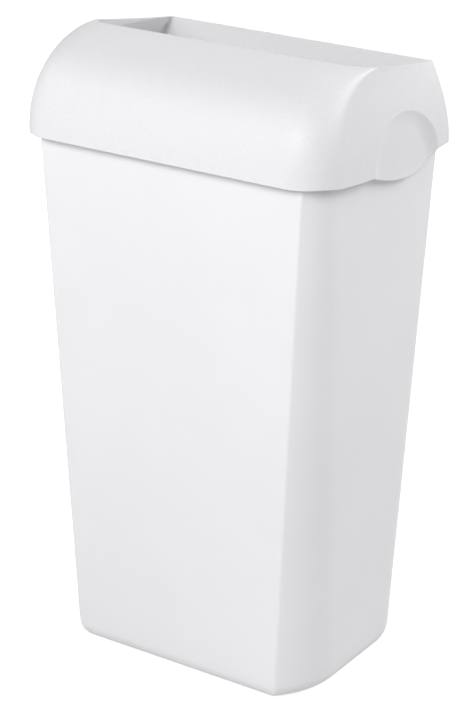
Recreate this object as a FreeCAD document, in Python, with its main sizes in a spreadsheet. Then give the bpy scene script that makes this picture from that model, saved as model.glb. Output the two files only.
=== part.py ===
import FreeCAD, Part
import math
import os

import Sketcher
from FreeCAD import Placement, Rotation, Vector

# Washroom waste bin: tapered bucket, lift-off hood with an open slot on top,
# inner bag ring, wall plate, foot pads and wall buffers.
# Millimetres. +Z up, floor at z = 0, origin at the centre of the footprint,
# front is -Y, wall side is +Y, width along X, right is +X.

os.makedirs("parts", exist_ok=True)
doc = FreeCAD.newDocument("bin")

# ------------------------------------------------------------------ driving dimensions
# alias, value, note
SIZES = [
    # shared
    ("wall", 2.6, "moulded wall thickness"),
    ("fit_gap", 0.05, "clearance of pieces fitted to the bucket"),
    ("overrun", 1.0, "overrun of cuts and overlap of joined blocks"),
    # bucket, outer surface; _low is at floor level, _top at the hood edge
    ("wid_low", 141.5, "bucket half width at floor level"),
    ("wid_top", 157.3, "bucket half width at the hood edge"),
    ("front_low", 96.5, "bucket front face at floor level (minus y)"),
    ("front_top", 105.4, "bucket front face at the hood edge (minus y)"),
    ("rear_low", 96.5, "bucket rear face at floor level"),
    ("rear_top", 107.0, "bucket rear face at the hood edge"),
    ("rad_front_low", 88.6, "wide part of the front vertical corner at the foot"),
    ("rad_front_top", 50.1, "wide part of the front vertical corner at the hood edge"),
    ("crease_low", 5, "radius of the crease beside the front face at the foot"),
    ("crease_top", 3, "radius of the crease beside the front face at the hood edge"),
    ("crease_turn", 45, "degrees the crease turns before the wide part starts"),
    ("rad_rear_low", 43, "rear vertical corner radius at floor level"),
    ("rad_rear_top", 4.5, "rear vertical corner radius at the hood edge"),
    ("round_r", 19, "radius of the bottom edge rounding"),
    ("base_z", 1.0, "underside of the bucket above the floor"),
    ("floor_thick", 4.0, "bucket floor thickness"),
    ("edge_z", 522.8, "lower edge of the hood at the front"),
    ("rim_z", 533.0, "top of the bucket rim"),
    ("rim_over", 3, "inside of the bucket carried above the rim"),
    ("rear_cut_dy", 4, "start of the rear wall cuts behind the rear face"),
    ("hook_cut", 16, "depth of the hook slot cut"),
    ("bore_cut", 26, "depth of the buffer bore cut"),
    # hood
    ("hood_half", 167.10, "hood half width at the lower edge"),
    ("hood_front", 116.4, "hood front face at the lower edge (minus y)"),
    ("hood_rear", 111.2, "hood rear face at the lower edge"),
    ("hood_rear_top", 110.2, "hood rear face at the slot edge"),
    ("sweep_deep", 88.4, "front face to slot lip, front to back"),
    ("sweep_tall", 90.2, "slot lip above the lower edge"),
    ("back_tall", 66.8, "slot rear edge above the lower edge"),
    ("half_loss", 19.6, "half width lost from the lower edge to the slot rear corners"),
    ("splay", 5.7, "extra half width toward the front of the slot"),
    ("hood_corner_low", 39.0, "hood front corner radius at the lower edge"),
    ("hood_corner_top", 35, "hood front corner radius at the slot lip"),
    ("hood_rear_rad", 5.0, "hood rear corner radius"),
    ("skirt_dz", 30.0, "hood blank below the lower edge before trimming"),
    ("lip_edge", 0.9, "inner edge of the slot lip behind its outer edge"),
    # straight cut through the slot
    ("slot_drop", 6, "start of the cut below the slot rear edge"),
    ("slot_rear_in", 0.8, "rear of the cut in front of the inner wall face"),
    ("slot_grow", 0.15, "extra half width of the cut"),
    ("slot_cut", 22, "length of the cut"),
    # hollow of the slot side edges
    ("rim_dip", 1.0, "hollow of the slot side edges"),
    ("dip_lip_dy", 0.5, "front end of the hollow behind the slot lip"),
    ("dip_lip_dz", 0.08, "front end of the hollow below the slot lip"),
    ("dip_rear_dy", 3, "rear end of the hollow behind the slot rear edge"),
    ("dip_rear_dz", 1.0, "rear end of the hollow below the slot rear edge"),
    # ledge inside the hood
    ("ledge_gap", 2.4, "ledge above the bucket rim"),
    ("ledge_thick", 2.5, "ledge thickness"),
    ("ledge_corner", 27.1, "front corner radius of the ledge mouth"),
    ("ledge_rear_rad", 2, "rear corner radius of the ledge mouth"),
    ("ledge_lap", 1.6, "ledge mouth inside the inner face of the bucket rim"),
    ("ledge_front_in", 0.4, "ledge front in from the middle of the hood wall"),
    ("ledge_side_in", 2.2, "ledge sides in from the hood half width"),
    ("ledge_corner_cut", 1.5, "ledge front corners tighter than the hood's"),
    ("ledge_rear_cut", 1, "ledge rear corners tighter than the hood's"),
    # side grips and the lower edge of the hood
    ("grip_y", 30.5, "scoop centre behind the origin"),
    ("grip_x", 163.3, "scoop floor half width at its centre"),
    ("grip_z", 508.0, "height of the scoop centre"),
    ("grip_rad", 67.3, "radius of the scoop before its floor is rounded"),
    ("grip_soft", 26.0, "rounding between the scoop floor and its side"),
    ("grip_lean", 5.0, "scoop lean in degrees"),
    ("scoop_long", 60, "length of the scoop block outward"),
    ("cusp_front", 24.0, "front cusp of the grip tab (minus y)"),
    ("cusp_rear", 87.0, "rear cusp of the grip tab"),
    ("cusp_z", 514.6, "height of the two cusps"),
    ("tab_y", 46.0, "lowest point of the grip tab"),
    ("tab_z", 499.2, "height of the lowest point of the tab"),
    ("fall_y", 100, "place where the lower edge starts to fall (minus y)"),
    ("fall_sag", 0.8, "hollow of the falling part of the lower edge"),
    ("edge_rise", 3, "rise of the lower edge from the rear cusp to the trim end"),
    ("trim_reach", 150, "front and rear ends of the edge trim"),
    ("trim_low", 470, "bottom of the edge trim"),
    ("trim_high", 660, "top of the slot edge trim"),
    ("trim_wide", 400, "full width of both trims"),
    # bag ring
    ("ring_deep", 22.0, "skirt depth of the bag ring"),
    ("ring_wall", 2.0, "bag ring wall"),
    ("ring_gap", 0.8, "bag ring clearance to the bucket"),
    ("flange_in", 0.6, "flange in from the bucket outer face"),
    ("flange_thick", 2, "flange thickness"),
    ("mouth_extra", 6, "ring mouth cut longer than the skirt"),
    # wall plate
    ("plate_half", 105.0, "wall plate half width"),
    ("plate_tall", 70.0, "wall plate height"),
    ("plate_thick", 2.0, "wall plate thickness"),
    ("plate_back", 116.5, "wall plane behind the origin"),
    ("plate_dz", 12.0, "plate top below the hood edge"),
    ("hook_x", 66.0, "hook spacing from the middle"),
    ("hook_wide", 18.0, "hook width"),
    ("hook_reach", 12.0, "height of the hook lip above its arm"),
    ("hook_drop", 26, "top of the hook arm below the plate top"),
    ("hook_thick", 2.4, "thickness of the hook arm and lip"),
    ("hook_in", 3.1, "hook lip front face inside the bucket's inner rear face"),
    ("hook_side_gap", 1, "hook slot wider than the hook, each side"),
    ("hook_below", 8, "extra height of the hook slot"),
    ("screw_x", 92.0, "screw holes from the middle"),
    ("screw_z", 22.0, "screw holes from the plate middle"),
    ("screw_r", 2.6, "screw hole radius"),
    # pads and buffers
    ("pad_r", 9.0, "foot pad radius"),
    ("pad_tall", 3.0, "foot pad height"),
    ("pad_x", 84.0, "foot pads from the middle"),
    ("pad_y", 46.0, "foot pads from the middle, front to back"),
    ("buffer_x", 80.0, "wall buffers from the middle"),
    ("buffer_z", 78.0, "wall buffer height"),
    ("buffer_r", 8.0, "wall buffer head radius"),
    ("buffer_gap", 0.45, "buffer head clear of the sloping rear face"),
    ("stem_r", 3.0, "wall buffer stem radius"),
    ("stem_long", 6, "wall buffer stem length, overlap included"),
]
VALUES = {alias: float(value) for alias, value, note in SIZES}

sheet = doc.addObject("Spreadsheet::Sheet", "sizes")
for row, (alias, value, note) in enumerate(SIZES, start=1):
    sheet.set(f"A{row}", note)
    sheet.set(f"B{row}", str(value))
    sheet.setAlias(f"B{row}", alias)
doc.recompute()

FUNCTIONS = {
    "cos": lambda angle: math.cos(math.radians(angle)),
    "sin": lambda angle: math.sin(math.radians(angle)),
    "atan": lambda slope: math.degrees(math.atan(slope)),
    "sqrt": math.sqrt,
}


# ------------------------------------------------------------------ expressions
# Sizes are passed around as expression text, so every sketch stays tied to the sheet.
def number(expr):
    """Plain number for an expression, so that a sketch starts close to its answer."""
    text = expr.replace("sizes.", "").replace("deg", "")
    for mark in "+-*/()":
        text = text.replace(mark, f" {mark} ")
    tokens = text.split()

    def take_sum():
        value = take_product()
        while tokens and tokens[0] in "+-":
            if tokens.pop(0) == "+":
                value += take_product()
            else:
                value -= take_product()
        return value

    def take_product():
        value = take_item()
        while tokens and tokens[0] in "*/":
            if tokens.pop(0) == "*":
                value *= take_item()
            else:
                value /= take_item()
        return value

    def take_item():
        token = tokens.pop(0)
        if token == "-":
            return -take_item()
        if token == "(":
            value = take_sum()
            tokens.pop(0)
            return value
        if token in FUNCTIONS:
            return FUNCTIONS[token](take_item())
        return VALUES[token] if token in VALUES else float(token)

    return take_sum()


def square(expr):
    return f"({expr}) * ({expr})"


def slope_angle(run, rise):
    return f"atan(({rise}) / ({run}))"


def slope_length(run, rise):
    return f"sqrt({square(run)} + {square(rise)})"


def sag_radius(run, rise, sag):
    """Radius of an arc whose middle lies sag away from its chord."""
    return f"({square(run)} / 4 + {square(rise)} / 4 + {square(sag)}) / (2 * {sag})"


def along_wall(size, z):
    """A bucket size on the straight wall at height z."""
    low, top = f"sizes.{size}_low", f"sizes.{size}_top"
    return f"({low} + ({top} - {low}) * ({z}) / sizes.edge_z)"


PLATE_TOP = "(sizes.edge_z - sizes.plate_dz)"
HOOK_TOP = f"({PLATE_TOP} - sizes.hook_drop)"    # top of the hook arm


# ------------------------------------------------------------------ sketches and features
class Outline:
    """Sketch on an origin plane of a body, moved and tilted by expressions.
    The normal of XZ_Plane points to the front, so an offset z of -d lies at y = d."""

    def __init__(self, body, name, role="XY_Plane", x=None, y=None, z=None, tilt=None):
        plane = next(f for f in body.Origin.OriginFeatures if f.Role == role)
        self.sketch = body.newObject("Sketcher::SketchObject", name)
        self.sketch.AttachmentSupport = [(plane, "")]
        self.sketch.MapMode = "FlatFace"
        for axis, expr in (("z", z), ("y", y), ("x", x)):
            if expr is not None:
                self.sketch.setExpression(f"AttachmentOffset.Base.{axis}", expr)
        if tilt is not None:
            turn = Rotation(Vector(1, 0, 0), number(tilt))
            self.sketch.AttachmentOffset = Placement(Vector(0, 0, 0), turn)
            self.sketch.setExpression("AttachmentOffset.Rotation.Angle", tilt)

    def constrain(self, kind, *args):
        return self.sketch.addConstraint(Sketcher.Constraint(kind, *args))

    def measure(self, kind, args, expr):
        index = self.constrain(kind, *args, number(expr))
        self.sketch.setExpression(f"Constraints[{index}]", expr)

    def locate(self, axis, edge, end, expr):
        """Signed distance of a point of an edge from the sketch origin."""
        self.measure("Distance" + axis, (-1, 1, edge, end), expr)

    def line(self, start, end):
        segment = Part.LineSegment(Vector(*start, 0), Vector(*end, 0))
        return self.sketch.addGeometry(segment, False)

    def arc(self, x, y, radius, start, end):
        """Anticlockwise arc, angles in degrees."""
        circle = Part.Circle(Vector(x, y, 0), Vector(0, 0, 1), radius)
        arc = Part.ArcOfCircle(circle, math.radians(start), math.radians(end))
        return self.sketch.addGeometry(arc, False)

    def join_smoothly(self, ring):
        for i, edge in enumerate(ring):
            self.constrain("Tangent", edge, 2, ring[(i + 1) % len(ring)], 1)

    def hood_outline(self, front, rear, half_front, half_rear, rad_front, rad_rear):
        """Rounded outline from front edge to rear edge. The half widths are those at the
        front and rear ends of the straight sides."""
        y0, y1, w0, w1, r0, r1 = [
            number(e) for e in (front, rear, half_front, half_rear, rad_front, rad_rear)]
        ring = [
            self.line((-(w0 - r0), y0), (w0 - r0, y0)),
            self.arc(w0 - r0, y0 + r0, r0, 270, 360),
            self.line((w0, y0 + r0), (w1, y1 - r1)),
            self.arc(w1 - r1, y1 - r1, r1, 0, 90),
            self.line((w1 - r1, y1), (-(w1 - r1), y1)),
            self.arc(-(w1 - r1), y1 - r1, r1, 90, 180),
            self.line((-w1, y1 - r1), (-w0, y0 + r0)),
            self.arc(-(w0 - r0), y0 + r0, r0, 180, 270),
        ]
        front_line, corner_fr, right, corner_rr, rear_line, corner_rl, left, corner_fl = ring
        self.join_smoothly(ring)
        self.constrain("Horizontal", front_line)
        self.constrain("Horizontal", rear_line)
        self.measure("Radius", (corner_fr,), rad_front)
        self.measure("Radius", (corner_rr,), rad_rear)
        self.constrain("Equal", corner_fr, corner_fl)
        self.constrain("Equal", corner_rr, corner_rl)
        self.locate("Y", front_line, 1, front)
        self.locate("Y", rear_line, 1, rear)
        self.locate("X", right, 1, half_front)
        self.locate("X", right, 2, half_rear)
        self.locate("X", left, 1, f"-({half_rear})")
        self.locate("X", left, 2, f"-({half_front})")
        return self

    def bucket_outline(self, front, rear, half, wide, crease, rad_rear):
        """Outline with parallel sides. Each front corner is a narrow crease that turns by
        crease_turn, then a wide arc that runs into the side."""
        y0, y1, w, big, small, r = [
            number(e) for e in (front, rear, half, wide, crease, rad_rear)]
        turn = VALUES["crease_turn"]
        flat = w - big + (big - small) * math.sin(math.radians(turn))
        wide_y = y0 + small + (big - small) * math.cos(math.radians(turn))
        ring = [
            self.line((-flat, y0), (flat, y0)),
            self.arc(flat, y0 + small, small, 270, 270 + turn),
            self.arc(w - big, wide_y, big, 270 + turn, 360),
            self.line((w, wide_y), (w, y1 - r)),
            self.arc(w - r, y1 - r, r, 0, 90),
            self.line((w - r, y1), (-(w - r), y1)),
            self.arc(-(w - r), y1 - r, r, 90, 180),
            self.line((-w, y1 - r), (-w, wide_y)),
            self.arc(-(w - big), wide_y, big, 180, 270 - turn),
            self.arc(-flat, y0 + small, small, 270 - turn, 270),
        ]
        (front_line, crease_r, wide_r, right, corner_r,
         rear_line, corner_l, left, wide_l, crease_l) = ring
        self.join_smoothly(ring)
        self.constrain("Horizontal", front_line)
        self.constrain("Horizontal", rear_line)
        self.constrain("Vertical", right)
        self.constrain("Vertical", left)
        self.measure("Radius", (crease_r,), crease)
        self.measure("Radius", (wide_r,), wide)
        self.measure("Radius", (corner_r,), rad_rear)
        self.constrain("Equal", crease_r, crease_l)
        self.constrain("Equal", wide_r, wide_l)
        self.constrain("Equal", corner_r, corner_l)
        front_half = (f"({half}) - ({wide}) + (({wide}) - ({crease}))"
                      " * sin(sizes.crease_turn * 1deg)")
        self.locate("Y", front_line, 1, front)
        self.locate("Y", rear_line, 1, rear)
        self.locate("X", front_line, 2, front_half)
        self.locate("X", front_line, 1, f"-({front_half})")
        self.locate("X", right, 1, half)
        self.locate("X", left, 1, f"-({half})")
        return self

    def polygon(self, points, sagging=None):
        """Closed outline through points. sagging: {index: radius} of the sides that are arcs
        hanging below their chord, each running from points[index] to the next point."""
        sagging = sagging or {}
        places = [(number(x), number(y)) for x, y in points]
        sides = []    # edge, its start point, its end point
        for i, start in enumerate(places):
            end = places[(i + 1) % len(places)]
            if i not in sagging:
                sides.append((self.line(start, end), 1, 2))
                continue
            radius = number(sagging[i])
            (x0, y0), (x1, y1) = sorted((start, end))
            chord = math.hypot(x1 - x0, y1 - y0)
            lift = math.sqrt(radius ** 2 - chord ** 2 / 4) / chord
            x = (x0 + x1) / 2 - (y1 - y0) * lift
            y = (y0 + y1) / 2 + (x1 - x0) * lift
            edge = self.arc(x, y, radius, math.degrees(math.atan2(y0 - y, x0 - x)),
                            math.degrees(math.atan2(y1 - y, x1 - x)))
            sides.append((edge, 1, 2) if start < end else (edge, 2, 1))
        for i, (edge, first, last) in enumerate(sides):
            following, its_first, _ = sides[(i + 1) % len(sides)]
            self.constrain("Coincident", edge, last, following, its_first)
        for i, (edge, first, last) in enumerate(sides):
            self.locate("X", edge, first, points[i][0])
            self.locate("Y", edge, first, points[i][1])
            if i in sagging:
                self.measure("Radius", (edge,), sagging[i])
        return self

    def rectangle(self, x0, x1, y0, y1):
        return self.polygon([(x0, y0), (x1, y0), (x1, y1), (x0, y1)])

    def circle(self, x, y, radius):
        circle = Part.Circle(Vector(number(x), number(y), 0), Vector(0, 0, 1), number(radius))
        edge = self.sketch.addGeometry(circle, False)
        self.locate("X", edge, 3, x)
        self.locate("Y", edge, 3, y)
        self.measure("Radius", (edge,), radius)
        return self


def new_body(label):
    body = doc.addObject("PartDesign::Body", label + "_body")
    body.Label = label
    return body


def pad(body, outline, length, name, reverse=False, both=False):
    feature = body.newObject("PartDesign::Pad", name)
    feature.Profile = outline.sketch
    feature.setExpression("Length", length)
    feature.Reversed = reverse
    if both:
        feature.Midplane = True
    return feature


def pocket(body, outline, length, name):
    """Cut along the normal of the outline."""
    feature = body.newObject("PartDesign::Pocket", name)
    feature.Profile = outline.sketch
    feature.setExpression("Length", length)
    feature.Reversed = True


def loft(body, outlines, name, cut=False, ruled=False):
    kind = "SubtractiveLoft" if cut else "AdditiveLoft"
    feature = body.newObject("PartDesign::" + kind, name)
    feature.Profile = outlines[0].sketch
    feature.Sections = [outline.sketch for outline in outlines[1:]]
    feature.Ruled = ruled
    feature.Closed = False


def cut_chain(name, base, tools):
    """Cut the tools from the base one after another."""
    for i, tool in enumerate(tools):
        cut = doc.addObject("Part::Cut", f"{name}_{i}")
        cut.Base, cut.Tool = base, tool
        base = cut
    return base


# ------------------------------------------------------------------ bucket
ROUND_ANGLES = (90, 72, 54, 36, 18, 0)    # stations on the bottom rounding, degrees
LOW_STEP = 0.32    # spacing of the stations above it, in rounding radii


def bucket_section(body, name, z, inset, offset):
    """Bucket outline at height z. inset is what the bottom rounding takes off, offset the
    distance in from the outer face; the corner radii shrink by a share of each."""
    def size(stem, inset_share=1, offset_share=1):
        return (f"{along_wall(stem, z)} - {inset_share} * ({inset})"
                f" - {offset_share} * ({offset})")

    return Outline(body, name, z=z).bucket_outline(
        front=f"-({size('front')})", rear=size("rear"), half=size("wid"),
        wide=size("rad_front", 0.45, 0.9), crease=size("crease", 0.2, 0.3),
        rad_rear=size("rad_rear", 0.3, 0.9))


def bowl_sections(body, tag, offset, bottom, radius):
    """Outlines from the flat bottom up through the rounding and a little of the straight
    wall, about evenly spaced along the surface so that the smooth loft stays true."""
    sections = []
    for i, angle in enumerate(ROUND_ANGLES):
        z = f"{bottom} + ({radius}) * (1 - sin({angle}deg))"
        inset = f"({radius}) * (1 - cos({angle}deg))"
        sections.append(bucket_section(body, f"{tag}_round_{i}", z, inset, offset))
    for i in (1, 2, 3):
        z = f"{bottom} + ({radius}) * (1 + {LOW_STEP} * {i})"
        sections.append(bucket_section(body, f"{tag}_low_{i}", z, "0", offset))
    return sections


def make_bucket():
    body = new_body("bin_body")
    outer = bowl_sections(body, "outer", "0", "sizes.base_z", "sizes.round_r")
    outer_rim = bucket_section(body, "outer_rim", "sizes.rim_z", "0", "0")
    loft(body, outer, "bucket_bowl")
    loft(body, [outer[-1], outer_rim], "bucket_walls", ruled=True)
    inner = bowl_sections(body, "inner", "sizes.wall", "sizes.base_z + sizes.floor_thick",
                          "(sizes.round_r - sizes.wall)")
    inner_rim = bucket_section(body, "inner_rim", "sizes.rim_z + sizes.rim_over", "0",
                               "sizes.wall")
    loft(body, inner, "bucket_bowl_inside", cut=True)
    loft(body, [inner[-1], inner_rim], "bucket_walls_inside", cut=True, ruled=True)
    doc.recompute()

    seats = Outline(body, "pad_seats", z="sizes.base_z")
    for side in ("", "-"):
        for end in ("", "-"):
            seats.circle(side + "sizes.pad_x", end + "sizes.pad_y",
                         "sizes.pad_r + sizes.fit_gap")
    pocket(body, seats, "sizes.pad_tall - sizes.base_z", "pad_pockets")

    behind = "-sizes.rear_top - sizes.rear_cut_dy"
    slots = Outline(body, "hook_slots", role="XZ_Plane", z=behind)
    half = "sizes.hook_wide / 2"
    for middle in ("sizes.hook_x", "-sizes.hook_x"):
        slots.rectangle(f"{middle} - {half} - sizes.hook_side_gap",
                        f"{middle} + {half} + sizes.hook_side_gap",
                        f"{HOOK_TOP} - sizes.hook_reach - sizes.hook_below",
                        f"{HOOK_TOP} + sizes.fit_gap")
    pocket(body, slots, "sizes.hook_cut", "hook_slot_cut")

    bores = Outline(body, "buffer_bores", role="XZ_Plane", z=behind)
    for side in ("", "-"):
        bores.circle(side + "sizes.buffer_x", "sizes.buffer_z", "sizes.stem_r + sizes.fit_gap")
    pocket(body, bores, "sizes.bore_cut", "buffer_bore_cut")
    doc.recompute()
    return body


# ------------------------------------------------------------------ hood
# The outlines stand on planes that tip from level at the lower edge to the slope of the
# slot. Each plane runs through its rear point and its point on the front sweep, which is a
# quarter of a superellipse.
SWEEP_POWER = 2.3
SWEEP_ANGLES = (3, 13, 23, 33, 43, 53, 63, 72, 81, 90)
LOSS_POWER = 1.7     # how late the half width is lost on the way up
SPLAY_POWER = 1.5    # how late the splay comes in
# shares of the wall offset taken off the half width of the leaning sides and the radii
SIDE_SHARE = 1.04
FRONT_RAD_SHARE = 0.9
REAR_RAD_SHARE = 0.7


def sweep_station(angle):
    """Shares of the sweep depth, of the heights and of the half width lost, then the level
    and upright parts of the direction square to the sweep."""
    across = max(math.cos(math.radians(angle)), 0.0) ** (2 / SWEEP_POWER)
    up = math.sin(math.radians(angle)) ** (2 / SWEEP_POWER)
    level, upright = across ** (SWEEP_POWER - 1), up ** (SWEEP_POWER - 1)
    size = math.hypot(level, upright)
    return (round(1 - across, 5), round(up, 5), round(up ** LOSS_POWER, 5),
            round(level / size, 4), round(upright / size, 4))


STATIONS = [sweep_station(angle) for angle in SWEEP_ANGLES]


def hood_section(body, name, station, inner):
    deep, rise, lost, level, upright = station
    offset = "sizes.wall" if inner else "0"
    # The wall is measured square to the sweep, so it acts on the depth low down and on the
    # height near the lip.
    front_y = f"(-sizes.hood_front + sizes.sweep_deep * {deep} + {offset} * {level})"
    if inner and station == STATIONS[-1]:
        front_y = "(-sizes.hood_front + sizes.sweep_deep + sizes.lip_edge)"
    front_z = f"(sizes.edge_z + sizes.sweep_tall * {rise} - {offset} * {upright})"
    rear_y = (f"(sizes.hood_rear + (sizes.hood_rear_top - sizes.hood_rear) * {rise}"
              f" - {offset})")
    rear_z = f"(sizes.edge_z + sizes.back_tall * {rise})"
    run, climb = f"{rear_y} - {front_y}", f"{rear_z} - {front_z}"
    half = f"(sizes.hood_half - sizes.half_loss * {lost} - {offset} * {SIDE_SHARE})"
    outline = Outline(body, name, z=rear_z, y=rear_y, tilt=slope_angle(run, climb))
    return outline.hood_outline(
        front=f"-({slope_length(run, climb)})", rear="0",
        half_front=f"({half} + sizes.splay * {round(rise ** SPLAY_POWER, 4)})",
        half_rear=half,
        rad_front=("(sizes.hood_corner_low + (sizes.hood_corner_top - sizes.hood_corner_low)"
                   f" * {rise} - {FRONT_RAD_SHARE} * {offset})"),
        rad_rear=f"(sizes.hood_rear_rad - {REAR_RAD_SHARE} * {offset})")


def hood_skirt(body, name, z, inner):
    offset = "sizes.wall" if inner else "0"
    half = f"(sizes.hood_half - {offset})"
    return Outline(body, name, z=z).hood_outline(
        front=f"-(sizes.hood_front - {offset})", rear=f"sizes.hood_rear - {offset}",
        half_front=half, half_rear=half,
        rad_front=f"sizes.hood_corner_low - {FRONT_RAD_SHARE} * {offset}",
        rad_rear=f"sizes.hood_rear_rad - {REAR_RAD_SHARE} * {offset}")


def make_hood_block(label, tag, inner):
    """Solid bounded by the outer or the inner face of the hood."""
    body = new_body(label)
    sections = [hood_section(body, f"{tag}_{i}", station, inner)
                for i, station in enumerate(STATIONS)]
    bottom = "sizes.edge_z - sizes.skirt_dz" + (" - sizes.overrun" if inner else "")
    low = hood_skirt(body, tag + "_low", bottom, inner)
    middle = hood_skirt(body, tag + "_mid", "sizes.edge_z - sizes.skirt_dz / 2", inner)
    loft(body, [low, middle] + sections, tag)
    doc.recompute()
    return body


def make_slot_block():
    """Straight block through the top of the core, so the slot opens right through."""
    body = new_body("slot_open")
    run = ("sizes.hood_rear_top - sizes.wall + sizes.hood_front"
           " - sizes.sweep_deep - sizes.lip_edge")
    climb = "sizes.back_tall - sizes.sweep_tall + sizes.wall"
    half = (f"(sizes.hood_half - sizes.half_loss - sizes.wall * {SIDE_SHARE}"
            " + sizes.slot_grow)")
    outline = Outline(body, "slot_outline", z="sizes.edge_z + sizes.back_tall - sizes.slot_drop",
                      y="sizes.hood_rear_top - sizes.wall - sizes.slot_rear_in",
                      tilt=slope_angle(run, climb))
    outline.hood_outline(
        front=f"-({slope_length(run, climb)})", rear="0",
        half_front=half + " + sizes.splay", half_rear=half,
        rad_front=f"sizes.hood_corner_top - {FRONT_RAD_SHARE} * sizes.wall",
        rad_rear=f"sizes.hood_rear_rad - {REAR_RAD_SHARE} * sizes.wall")
    pad(body, outline, "sizes.slot_cut", "slot_through")
    return body


def make_edge_trim():
    """Lower edge: level in front, falling along the side, then the rounded tab under each
    grip."""
    body = new_body("edge_trim")
    drop = "sizes.cusp_z - sizes.tab_z"

    def tab_radius(span):
        return f"({square(span)} + {square(drop)}) / (2 * ({drop}))"

    points = [
        ("-sizes.trim_reach", "sizes.trim_low"),
        ("sizes.trim_reach", "sizes.trim_low"),
        ("sizes.trim_reach", "sizes.cusp_z + sizes.edge_rise"),
        ("sizes.cusp_rear", "sizes.cusp_z"),
        ("sizes.tab_y", "sizes.tab_z"),
        ("-sizes.cusp_front", "sizes.cusp_z"),
        ("-sizes.fall_y", "sizes.edge_z"),
        ("-sizes.trim_reach", "sizes.edge_z"),
    ]
    arcs = {
        3: tab_radius("sizes.cusp_rear - sizes.tab_y"),
        4: tab_radius("sizes.tab_y + sizes.cusp_front"),
        5: sag_radius("sizes.fall_y - sizes.cusp_front", "sizes.edge_z - sizes.cusp_z",
                      "sizes.fall_sag"),
    }
    outline = Outline(body, "edge_outline", role="YZ_Plane").polygon(points, arcs)
    pad(body, outline, "sizes.trim_wide", "edge_cut", both=True)
    return body


def make_rim_trim():
    """Side edges of the slot: a slight hollow between the lip and the rear corners."""
    body = new_body("rim_trim")
    lip_y = "(-sizes.hood_front + sizes.sweep_deep + sizes.dip_lip_dy)"
    lip_z = "(sizes.edge_z + sizes.sweep_tall - sizes.dip_lip_dz)"
    rear_y = "(sizes.hood_rear_top + sizes.dip_rear_dy)"
    rear_z = "(sizes.edge_z + sizes.back_tall - sizes.dip_rear_dz)"
    points = [(lip_y, lip_z), (rear_y, rear_z),
              (rear_y, "sizes.trim_high"), (lip_y, "sizes.trim_high")]
    radius = sag_radius(f"{rear_y} - {lip_y}", f"{lip_z} - {rear_z}", "sizes.rim_dip")
    outline = Outline(body, "rim_outline", role="YZ_Plane").polygon(points, {0: radius})
    pad(body, outline, "sizes.trim_wide", "rim_cut", both=True)
    doc.recompute()
    return body


def make_scoop(label, right, grow):
    """Round cushion that presses the grip into one side of the hood; its floor leans with
    the side."""
    body = new_body(label)
    outline = Outline(body, label + "_outline", role="YZ_Plane",
                      x="sizes.grip_y", y="sizes.grip_z",
                      z=("" if right else "-") + f"(sizes.grip_x - {grow})",
                      tilt=("-" if right else "") + "(sizes.grip_lean)")
    radius = f"sizes.grip_rad + {grow}"
    circle = Part.Circle(Vector(0, 0, 0), Vector(0, 0, 1), number(radius))
    edge = outline.sketch.addGeometry(circle, False)
    outline.constrain("Coincident", edge, 3, -1, 1)
    outline.measure("Radius", (edge,), radius)
    block = pad(body, outline, "sizes.scoop_long", label + "_block", reverse=not right)
    doc.recompute()
    # the rim of the floor is the edge nearest the middle of the bin
    edges = block.Shape.Edges
    rim = min(range(len(edges)), key=lambda i: (abs(edges[i].CenterOfMass.x), -edges[i].Length))
    fillet = body.newObject("PartDesign::Fillet", label + "_soft")
    fillet.Base = (block, [f"Edge{rim + 1}"])
    fillet.setExpression("Radius", f"sizes.grip_soft + {grow}")
    return body


def make_scoops(label, grow):
    return [make_scoop(label + "_right", True, grow), make_scoop(label + "_left", False, grow)]


def make_ledge():
    """Ledge inside the hood that sits over the bucket rim."""
    body = new_body("hood_ledge")
    bottom = "sizes.rim_z + sizes.ledge_gap"
    half = "sizes.hood_half - sizes.ledge_side_in"
    plate = Outline(body, "ledge_outline", z=bottom).hood_outline(
        front="-(sizes.hood_front - sizes.wall / 2 - sizes.ledge_front_in)",
        rear="sizes.hood_rear - sizes.wall / 2", half_front=half, half_rear=half,
        rad_front="sizes.hood_corner_low - sizes.ledge_corner_cut",
        rad_rear="sizes.hood_rear_rad - sizes.ledge_rear_cut")
    pad(body, plate, "sizes.ledge_thick", "ledge_plate")

    def mouth_size(stem):
        return f"({along_wall(stem, 'sizes.rim_z')} - sizes.wall - sizes.ledge_lap)"

    mouth = Outline(body, "ledge_mouth", z=bottom + " - sizes.overrun").hood_outline(
        front="-" + mouth_size("front"), rear=mouth_size("rear"),
        half_front=mouth_size("wid"), half_rear=mouth_size("wid"),
        rad_front="sizes.ledge_corner", rad_rear="sizes.ledge_rear_rad")
    pocket(body, mouth, "sizes.ledge_thick + 2 * sizes.overrun", "ledge_open")
    doc.recompute()
    return body


def make_hood():
    blank = make_hood_block("hood_blank", "hood_out", inner=False)
    core = make_hood_block("hood_core", "hood_in", inner=True)
    slot = make_slot_block()
    edge_trim = make_edge_trim()
    rim_trim = make_rim_trim()
    scoops_out = make_scoops("scoop_out", "0")
    scoops_in = make_scoops("scoop_in", "sizes.wall")
    scoops_mid = make_scoops("scoop_mid", "sizes.wall / 2")
    doc.recompute()
    skin = cut_chain("hood_skin", blank, scoops_out)
    hollow = cut_chain("hood_hollow", core, scoops_in)
    shell = cut_chain("hood_shell", skin, [hollow, slot, edge_trim, rim_trim])
    doc.recompute()
    hood = doc.addObject("Part::Fuse", "hood_fuse")
    ledge = make_ledge()
    hood.Base, hood.Tool = shell, cut_chain("ledge_cut", ledge, scoops_mid)
    hood.Label = "hood"
    doc.recompute()
    return hood


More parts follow.
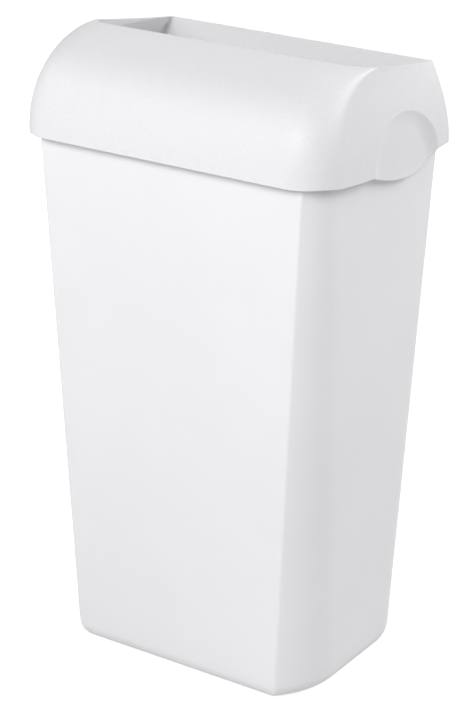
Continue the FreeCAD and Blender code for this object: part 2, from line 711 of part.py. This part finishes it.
# ------------------------------------------------------------------ bag ring
def make_ring():
    body = new_body("bag_ring")
    skirt_in = "sizes.wall + sizes.ring_gap"
    skirt = bucket_section(body, "ring_skirt", "sizes.rim_z - sizes.ring_deep", "0", skirt_in)
    pad(body, skirt, "sizes.ring_deep + sizes.overrun", "ring_skirt_pad")
    flange = bucket_section(body, "ring_flange", "sizes.rim_z + sizes.fit_gap", "0",
                            "sizes.flange_in")
    pad(body, flange, "sizes.flange_thick", "ring_flange_pad")
    mouth = bucket_section(body, "ring_mouth", "sizes.rim_z - sizes.ring_deep - sizes.overrun",
                           "0", skirt_in + " + sizes.ring_wall")
    pocket(body, mouth, "sizes.ring_deep + sizes.mouth_extra", "ring_mouth_cut")
    doc.recompute()
    return body


# ------------------------------------------------------------------ wall plate
def make_plate():
    body = new_body("wall_plate")
    outline = Outline(body, "plate_outline", role="XZ_Plane", z="-sizes.plate_back")
    outline.rectangle("-sizes.plate_half", "sizes.plate_half",
                      f"{PLATE_TOP} - sizes.plate_tall", PLATE_TOP)
    pad(body, outline, "sizes.plate_thick", "plate_sheet")

    # each hook is an arm out of the plate with an upright lip inside the bucket
    lip_y = f"({along_wall('rear', HOOK_TOP)} - sizes.wall - sizes.hook_in)"
    root_y = "sizes.plate_back - sizes.plate_thick / 2"
    arm_low = f"{HOOK_TOP} - sizes.hook_thick"
    lip_high = f"{HOOK_TOP} + sizes.hook_reach"
    lip_rear = f"{lip_y} + sizes.hook_thick"
    points = [(lip_y, arm_low), (root_y, arm_low), (root_y, HOOK_TOP),
              (lip_rear, HOOK_TOP), (lip_rear, lip_high), (lip_y, lip_high)]
    for name, side in (("right", ""), ("left", "-")):
        hook = Outline(body, "hook_" + name, role="YZ_Plane", z=side + "sizes.hook_x")
        hook.polygon(points)
        pad(body, hook, "sizes.hook_wide", "hook_pad_" + name, both=True)

    holes = Outline(body, "screw_holes", role="XZ_Plane", z="-sizes.plate_back - sizes.overrun")
    for side in ("", "-"):
        for sign in ("+", "-"):
            holes.circle(side + "sizes.screw_x",
                         f"{PLATE_TOP} - sizes.plate_tall / 2 {sign} sizes.screw_z",
                         "sizes.screw_r")
    pocket(body, holes, "sizes.plate_thick + 2 * sizes.overrun", "screw_hole_cut")
    doc.recompute()
    return body


# ------------------------------------------------------------------ foot pads and buffers
def make_foot_pad(name, side, end):
    body = new_body("foot_pad_" + name)
    disc = Outline(body, "pad_disc_" + name, z="0")
    disc.circle(side + "sizes.pad_x", end + "sizes.pad_y", "sizes.pad_r")
    pad(body, disc, "sizes.pad_tall", "pad_block_" + name)
    return body


def make_buffer(name, side):
    """Round head between the wall plane and the bucket, with a stem into the bucket."""
    body = new_body("wall_buffer_" + name)
    x = side + "sizes.buffer_x"
    head_y = f"({along_wall('rear', 'sizes.buffer_z')} + sizes.buffer_gap)"
    head = Outline(body, "buffer_disc_" + name, role="XZ_Plane", z="-sizes.plate_back")
    head.circle(x, "sizes.buffer_z", "sizes.buffer_r")
    pad(body, head, f"sizes.plate_back - {head_y}", "buffer_head_" + name)
    stem = Outline(body, "buffer_pin_" + name, role="XZ_Plane",
                   z=f"-{head_y} - sizes.overrun")
    stem.circle(x, "sizes.buffer_z", "sizes.stem_r")
    pad(body, stem, "sizes.stem_long", "buffer_stem_" + name)
    return body


# ------------------------------------------------------------------ build, check and export
pieces = [make_bucket(), make_hood(), make_ring(), make_plate()]
for end_name, end in (("front", "-"), ("rear", "")):
    for side_name, side in (("left", "-"), ("right", "")):
        pieces.append(make_foot_pad(f"{end_name}_{side_name}", side, end))
for side_name, side in (("left", "-"), ("right", "")):
    pieces.append(make_buffer(side_name, side))
doc.recompute()

failed = [o.Name for o in doc.Objects if "Invalid" in o.State or "Error" in o.State]
if failed:
    raise SystemExit("not written, failed objects: " + ", ".join(failed))
for piece in pieces:
    shape = piece.Shape
    if shape.isNull() or not shape.isValid() or len(shape.Solids) != 1:
        raise SystemExit("not written: " + piece.Label)
for piece in pieces:
    piece.Shape.exportStep(f"parts/{piece.Label}.step")
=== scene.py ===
# A waste bin: white moulded body and hood, grey bag ring, zinc wall plate and rubber pads.
# It is centred near the Z axis with its front towards -Y and +Z up. Units are metres.
# All shapes come from the CAD pieces; this script adds materials, backdrop, lights and camera.
import bpy
import math
from mathutils import Matrix, Vector

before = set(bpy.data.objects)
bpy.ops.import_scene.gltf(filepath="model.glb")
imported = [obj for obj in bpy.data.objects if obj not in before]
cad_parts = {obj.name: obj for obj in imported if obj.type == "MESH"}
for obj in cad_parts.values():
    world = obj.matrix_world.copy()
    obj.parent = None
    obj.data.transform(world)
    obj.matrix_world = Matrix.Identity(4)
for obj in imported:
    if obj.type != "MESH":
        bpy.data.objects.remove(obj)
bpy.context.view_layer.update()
scene = bpy.context.scene


# ------------------------------------------------------------------ shader helpers
def rgba(colour):
    """Add an opaque alpha to a plain colour; a socket passes through unchanged."""
    return colour if isinstance(colour, bpy.types.NodeSocket) else (*colour, 1.0)


def shade(colour, factor):
    return tuple(channel * factor for channel in colour)


class ShaderGraph:
    """Builds the node tree of a material or world. An input may be a value or a socket."""

    def __init__(self, owner):
        owner.use_nodes = True
        self.tree = owner.node_tree
        self.tree.nodes.clear()

    def add(self, kind, inputs=None, **settings):
        node = self.tree.nodes.new(kind)
        for key, value in settings.items():
            setattr(node, key, value)
        for key, value in (inputs or {}).items():
            if isinstance(value, bpy.types.NodeSocket):
                self.tree.links.new(value, node.inputs[key])
            else:
                node.inputs[key].default_value = value
        return node

    def math(self, operation, a, b, clamp=False):
        node = self.add("ShaderNodeMath", {0: a, 1: b}, operation=operation, use_clamp=clamp)
        return node.outputs[0]

    def plus(self, a, b, clamp=False):
        return self.math("ADD", a, b, clamp)

    def minus(self, a, b, clamp=False):
        return self.math("SUBTRACT", a, b, clamp)

    def times(self, a, b):
        return self.math("MULTIPLY", a, b)

    def stretch(self, position, factors):
        """Scale the coordinates; a factor below 1 lengthens the pattern along that axis."""
        node = self.add("ShaderNodeVectorMath", {0: position, 1: factors}, operation="MULTIPLY")
        return node.outputs[0]

    def ramp(self, value, start, end):
        """Smooth step from 0 at start to 1 at end."""
        return self.add("ShaderNodeMapRange",
                        {"Value": value, "From Min": start, "From Max": end},
                        interpolation_type="SMOOTHSTEP").outputs["Result"]

    def mix(self, factor, a, b):
        # sockets 0, 6 and 7 are the factor and the two colours; output 2 is the colour
        return self.add("ShaderNodeMix", {0: factor, 6: rgba(a), 7: rgba(b)},
                        data_type="RGBA").outputs[2]

    def noise(self, position, scale, detail=3.0, roughness=0.5, distortion=0.0):
        return self.add("ShaderNodeTexNoise", {
            "Vector": position, "Scale": scale, "Detail": detail,
            "Roughness": roughness, "Distortion": distortion}).outputs["Fac"]

    def cells(self, position, scale):
        """Voronoi cells; the outputs are read by name."""
        return self.add("ShaderNodeTexVoronoi", {"Vector": position, "Scale": scale},
                        feature="F1").outputs

    def rounded(self, radius):
        """Normal that makes sharp edges look rounded."""
        return self.add("ShaderNodeBevel", {"Radius": radius}, samples=6).outputs[0]

    def bump(self, height, distance, strength, normal):
        return self.add("ShaderNodeBump", {
            "Height": height, "Distance": distance, "Strength": strength,
            "Normal": normal}).outputs["Normal"]

    def principled(self, colour, roughness, normal, specular=0.5, metallic=0.0):
        return self.add("ShaderNodeBsdfPrincipled", {
            "Base Color": rgba(colour), "Roughness": roughness, "Normal": normal,
            "Specular IOR Level": specular, "Metallic": metallic,
            "Coat Roughness": 0.3}).outputs[0]

    def mix_shader(self, factor, a, b):
        return self.add("ShaderNodeMixShader", {0: factor, 1: a, 2: b}).outputs[0]

    def finish(self, shader, kind="ShaderNodeOutputMaterial"):
        self.add(kind, {"Surface": shader})


def start_material(name):
    """Return a new material, its graph and its object coordinates."""
    material = bpy.data.materials.new(name)
    graph = ShaderGraph(material)
    return material, graph, graph.add("ShaderNodeTexCoord").outputs["Object"]


# ------------------------------------------------------------------ materials
# Noise scales are per metre; edge radii and bump distances are in metres.
def moulded_white(name, pigment, edge_radius, glow, grained):
    """White moulded plastic with a smooth tool finish, or a fine matt grain if grained.

    glow is the share of light that passes through the thin wall.
    """
    material, graph, position = start_material(name)
    rounded = graph.rounded(edge_radius)
    ripple = graph.noise(position, scale=90.0, detail=2.0)
    clouds = graph.noise(position, scale=7.0)

    # relief: slow flow waves left by the mould, then short ripples
    flow = graph.noise(graph.stretch(position, (1.0, 1.0, 0.35)),
                       scale=16.0, detail=2.0, roughness=0.45, distortion=0.4)
    normal = graph.bump(flow, distance=0.0011, strength=0.10, normal=rounded)
    normal = graph.bump(ripple, distance=0.00022, strength=0.16, normal=normal)

    # colour: barely uneven pigment with faint grey specks
    colour = graph.mix(graph.ramp(clouds, start=0.35, end=0.65),
                       shade(pigment, 0.988), shade(pigment, 1.006))
    specks = graph.ramp(graph.noise(position, scale=420.0, detail=1.0), start=0.62, end=0.75)
    colour = graph.mix(graph.times(specks, 0.05), colour, (0.62, 0.63, 0.64))

    if grained:
        # small rounded cells with finer noise on top
        cell = graph.cells(position, scale=760.0)["Distance"]
        fine = graph.noise(position, scale=1300.0, detail=2.0, roughness=0.65)
        grain = graph.plus(graph.times(cell, 0.55), graph.times(fine, 0.60))
        normal = graph.bump(grain, distance=0.00030, strength=0.70, normal=normal)
        # painted shade: the grain pits are darker, as light catches unevenly in the grain
        pits = graph.ramp(graph.plus(graph.times(cell, 0.5), fine), start=0.35, end=1.05)
        colour = graph.mix(graph.times(pits, 0.5), colour, shade(pigment, 0.93))
        mottle = graph.noise(position, scale=520.0, detail=1.5, roughness=0.7)
        mottle = graph.ramp(mottle, start=0.30, end=0.70)
        colour = graph.mix(graph.times(mottle, 0.6), colour, shade(pigment, 0.92))
    else:
        polish = graph.noise(position, scale=700.0, roughness=0.6)
        normal = graph.bump(polish, distance=0.00003, strength=0.30, normal=normal)

    # painted highlight: edges, found where the rounded normal leaves the true one, are paler,
    # as if catching light
    true_normal = graph.add("ShaderNodeNewGeometry").outputs["Normal"]
    agreement = graph.add("ShaderNodeVectorMath", {0: rounded, 1: true_normal},
                          operation="DOT_PRODUCT").outputs["Value"]
    painted_edge_highlight = graph.ramp(agreement, start=0.995, end=0.80)
    colour = graph.mix(graph.times(painted_edge_highlight, 0.25), colour, (0.93, 0.935, 0.94))

    # scuffs: thin upright streaks in a few patches, slightly shinier than the rest
    streaks = graph.noise(graph.stretch(position, (1.0, 1.0, 0.06)),
                          scale=260.0, roughness=0.65, distortion=0.2)
    patches = graph.noise(position, scale=5.0, detail=2.0)
    scuffs = graph.times(graph.ramp(streaks, start=0.62, end=0.72),
                         graph.ramp(patches, start=0.52, end=0.66))

    # roughness: base value, unevenness from clouds and ripple, less on scuffs and edges
    roughness = graph.plus(0.40, graph.times(graph.minus(clouds, 0.5), 0.05))
    roughness = graph.plus(roughness, graph.times(graph.minus(ripple, 0.5), 0.04))
    roughness = graph.minus(roughness, graph.times(scuffs, 0.05 if grained else 0.07))
    roughness = graph.minus(roughness, graph.times(painted_edge_highlight, 0.10), clamp=True)

    surface = graph.principled(colour, roughness, normal, specular=0.42)
    through = graph.add("ShaderNodeBsdfTranslucent", {
        "Color": rgba((0.86, 0.865, 0.88)), "Normal": normal}).outputs[0]
    graph.finish(graph.mix_shader(glow, surface, through))
    return material


def grey_plastic(name):
    """Mid-grey plastic with a fine grain over slow waves."""
    material, graph, position = start_material(name)
    waves = graph.noise(position, scale=40.0, detail=2.0)
    normal = graph.bump(waves, distance=0.0006, strength=0.12, normal=graph.rounded(0.0006))
    grain = graph.plus(graph.cells(position, scale=900.0)["Distance"],
                       graph.noise(position, scale=2200.0, detail=2.0, roughness=0.6))
    normal = graph.bump(grain, distance=0.0001, strength=0.5, normal=normal)

    clouds = graph.noise(position, scale=9.0)
    colour = graph.mix(graph.ramp(clouds, start=0.35, end=0.65),
                       (0.42, 0.43, 0.44), (0.46, 0.47, 0.48))
    roughness = graph.plus(0.50, graph.times(clouds, 0.08))
    graph.finish(graph.principled(colour, roughness, normal, specular=0.4))
    return material


def zinc_sheet(name):
    """Zinc-plated sheet: dull blue-grey, faint spangle, rolling lines along X."""
    material, graph, position = start_material(name)
    spangle = graph.cells(position, scale=210.0)["Color"]
    tone = graph.add("ShaderNodeSeparateColor", {0: spangle}).outputs[0]
    clouds = graph.noise(position, scale=28.0, detail=4.0, roughness=0.6)
    colour = graph.mix(tone, (0.50, 0.515, 0.535), (0.62, 0.63, 0.645))
    pale = graph.times(graph.ramp(clouds, start=0.5, end=0.75), 0.5)
    colour = graph.mix(pale, colour, (0.70, 0.705, 0.71))

    roughness = graph.plus(0.30, graph.times(tone, 0.10))
    roughness = graph.plus(roughness, graph.times(clouds, 0.14), clamp=True)
    rolling = graph.noise(graph.stretch(position, (0.05, 1.0, 1.0)),
                          scale=1600.0, roughness=0.7)
    normal = graph.bump(rolling, distance=0.00005, strength=0.35,
                        normal=graph.rounded(0.0004))
    graph.finish(graph.principled(colour, roughness, normal, metallic=1.0))
    return material


def black_rubber(name):
    """Black rubber with fine pits and a greyish bloom."""
    material, graph, position = start_material(name)
    bloom = graph.noise(position, scale=120.0, detail=4.0, roughness=0.65)
    colour = graph.mix(graph.ramp(bloom, start=0.45, end=0.75),
                       (0.020, 0.020, 0.022), (0.055, 0.055, 0.058))
    roughness = graph.plus(0.62, graph.times(bloom, 0.2), clamp=True)
    pits = graph.noise(position, scale=1900.0, roughness=0.7)
    normal = graph.bump(pits, distance=0.0001, strength=0.5, normal=graph.rounded(0.0006))
    graph.finish(graph.principled(colour, roughness, normal, specular=0.35))
    return material


def dress_pieces():
    """Give each CAD piece its material; any piece not listed is rubber."""
    materials = {
        "bin_body": moulded_white("body_plastic", pigment=(0.835, 0.834, 0.853),
                                  edge_radius=0.0010, glow=0.05, grained=False),
        "hood": moulded_white("hood_plastic", pigment=(0.902, 0.902, 0.918),
                              edge_radius=0.0013, glow=0.15, grained=True),
        "bag_ring": grey_plastic("ring_plastic"),
        "wall_plate": zinc_sheet("zinc_steel"),
    }
    rubber = black_rubber("pad_rubber")
    for name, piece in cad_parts.items():
        piece.data.materials.clear()
        piece.data.materials.append(materials.get(name, rubber))


dress_pieces()

# ------------------------------------------------------------------ floor and backdrop
SWEEP_HALF_WIDTH = 6.0
FLOOR_FRONT = -6.0
FLOOR_BACK = 0.9
CURVE_RADIUS = 1.2
CURVE_STEPS = 16
BACKDROP_TOP = 6.0
FLOOR_DROP = 0.0002  # keeps the floor just below the lowest face of the bin
SWEEP_TURN = math.radians(33.9)  # about Z, so that the backdrop faces the camera


def studio_white():
    """White that looks brighter to the camera than the light it gives the bin."""
    material = bpy.data.materials.new("studio_white")
    graph = ShaderGraph(material)

    def glowing(grey, strength):
        diffuse = graph.add("ShaderNodeBsdfDiffuse", {"Color": rgba((grey, grey, grey))})
        emission = graph.add("ShaderNodeEmission", {
            "Color": rgba((1.0, 1.0, 1.0)), "Strength": strength})
        return graph.add("ShaderNodeAddShader", {
            0: diffuse.outputs[0], 1: emission.outputs[0]}).outputs[0]

    camera_ray = graph.add("ShaderNodeLightPath").outputs["Is Camera Ray"]
    face = graph.mix_shader(camera_ray, glowing(grey=0.50, strength=0.26),
                            glowing(grey=0.42, strength=0.80))
    # clear from behind or below, so it never hides the bin
    backfacing = graph.add("ShaderNodeNewGeometry").outputs["Backfacing"]
    clear = graph.add("ShaderNodeBsdfTransparent").outputs[0]
    graph.finish(graph.mix_shader(backfacing, face, clear))
    return material


def studio_sweep():
    """Pale floor that curves up into a backdrop behind the bin."""
    profile = [(FLOOR_FRONT, 0.0), (FLOOR_BACK, 0.0)]  # (y, z) before the turn
    for step in range(1, CURVE_STEPS + 1):
        angle = math.radians(90 * step / CURVE_STEPS)
        profile.append((FLOOR_BACK + CURVE_RADIUS * math.sin(angle),
                        CURVE_RADIUS - CURVE_RADIUS * math.cos(angle)))
    profile.append((FLOOR_BACK + CURVE_RADIUS, BACKDROP_TOP))

    turn = Matrix.Rotation(SWEEP_TURN, 3, "Z")
    vertices = [tuple(turn @ Vector((x, y, z - FLOOR_DROP)))
                for y, z in profile for x in (-SWEEP_HALF_WIDTH, SWEEP_HALF_WIDTH)]
    faces = [(2 * i, 2 * i + 1, 2 * i + 3, 2 * i + 2) for i in range(len(profile) - 1)]
    mesh = bpy.data.meshes.new("studio_sweep")
    mesh.from_pydata(vertices, [], faces)
    mesh.update()
    for polygon in mesh.polygons:
        polygon.use_smooth = True
    mesh.materials.append(studio_white())
    sweep = bpy.data.objects.new("studio_sweep", mesh)
    scene.collection.objects.link(sweep)
    return sweep


studio_sweep()

# ------------------------------------------------------------------ light
LIGHT_TARGET = Vector((0, 0, 0.35))
LIGHT_DISTANCE = 3.0
LIGHT_ELEVATION = math.radians(32)
LIGHT_SIZE = 1.2
# name, azimuth in degrees (0 is in front at -Y, positive towards +X), power in watts
SOFT_BOXES = [
    ("far_left", -70, 11.7),
    ("left", -45, 6.2),
    ("front", 0, 57.9),
    ("front_right", 34, 16.5),
    ("side_right", 115, 27.7),
    ("rear_right", 150, 40.0),
]


def white_world():
    """The world gives no light; past the sweep the camera sees plain white."""
    world = bpy.data.worlds.new("studio")
    scene.world = world
    graph = ShaderGraph(world)
    camera_ray = graph.add("ShaderNodeLightPath").outputs["Is Camera Ray"]
    background = graph.add("ShaderNodeBackground", {
        "Color": rgba((1.0, 1.0, 1.0)), "Strength": camera_ray})
    graph.finish(background.outputs[0], kind="ShaderNodeOutputWorld")


def soft_box(name, azimuth, power):
    """Square area light aimed at the bin."""
    reach = LIGHT_DISTANCE * math.cos(LIGHT_ELEVATION)
    light = bpy.data.lights.new(name, "AREA")
    light.shape = "RECTANGLE"
    light.size = light.size_y = LIGHT_SIZE
    light.energy = power
    lamp = bpy.data.objects.new(name, light)
    scene.collection.objects.link(lamp)
    place = Vector((reach * math.sin(azimuth), -reach * math.cos(azimuth),
                    0.35 + LIGHT_DISTANCE * math.sin(LIGHT_ELEVATION)))
    lamp.location = place
    lamp.rotation_euler = (LIGHT_TARGET - place).to_track_quat("-Z", "Y").to_euler()


white_world()
for name, degrees, power in SOFT_BOXES:
    soft_box(name, math.radians(degrees), power)

# ------------------------------------------------------------------ camera
CAMERA_PLACE = (1.16581, -1.73370, 1.15026)
CAMERA_RIGHT = (0.82871, 0.55966, 0.00410)
CAMERA_BACK = (0.51727, -0.76869, 0.37623)  # away from the view, squared up below


def add_camera():
    lens = bpy.data.cameras.new("camera")
    lens.sensor_fit = "VERTICAL"
    lens.sensor_height = 36.0
    lens.lens = 119.505783
    lens.shift_x = 0.0068124118
    lens.shift_y = -0.00080394922
    lens.clip_start = 0.05
    lens.clip_end = 50.0
    camera = bpy.data.objects.new("camera", lens)
    scene.collection.objects.link(camera)

    right = Vector(CAMERA_RIGHT).normalized()
    back = Vector(CAMERA_BACK)
    back = (back - right * back.dot(right)).normalized()
    pose = Matrix((right, back.cross(right), back)).transposed().to_4x4()
    pose.translation = CAMERA_PLACE
    camera.matrix_world = pose
    scene.camera = camera


add_camera()

# plain transfer so that whites stay white
scene.view_settings.view_transform = "Standard"
scene.view_settings.look = "None"
